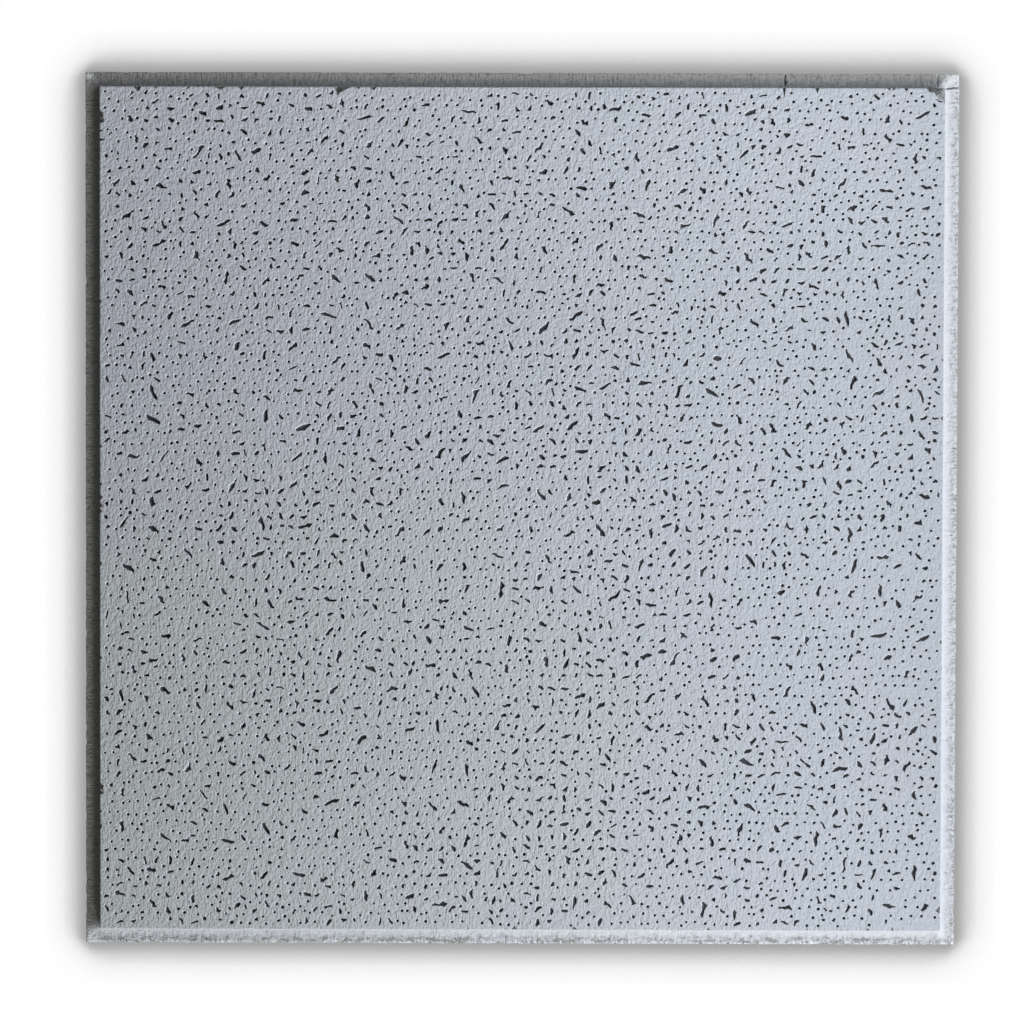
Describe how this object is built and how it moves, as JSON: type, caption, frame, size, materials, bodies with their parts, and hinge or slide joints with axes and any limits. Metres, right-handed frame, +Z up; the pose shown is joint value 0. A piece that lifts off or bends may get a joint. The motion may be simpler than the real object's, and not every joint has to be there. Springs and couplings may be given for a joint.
{
  "type": "mineral wool ceiling tile",
  "caption": "Square lay-in ceiling tile of pressed mineral wool: a thin flange all round carries it in a suspended grid, and its raised painted face is torn and pricked to absorb sound.",
  "frame": {"origin": "middle of the tile's back, which lies on the floor", "axes": "+Z up out of the painted face, +X and +Y along the tile's edges, +Y towards the top of the picture"},
  "size_m": [0.595, 0.595, 0.015],
  "materials": {
    "painted_mineral_wool": "matt off-white paint with a blue-grey cast over pressed mineral fibre"
  },
  "bodies": {
    "root": {"ceiling_tile": "painted_mineral_wool"}
  },
  "joints": []
}
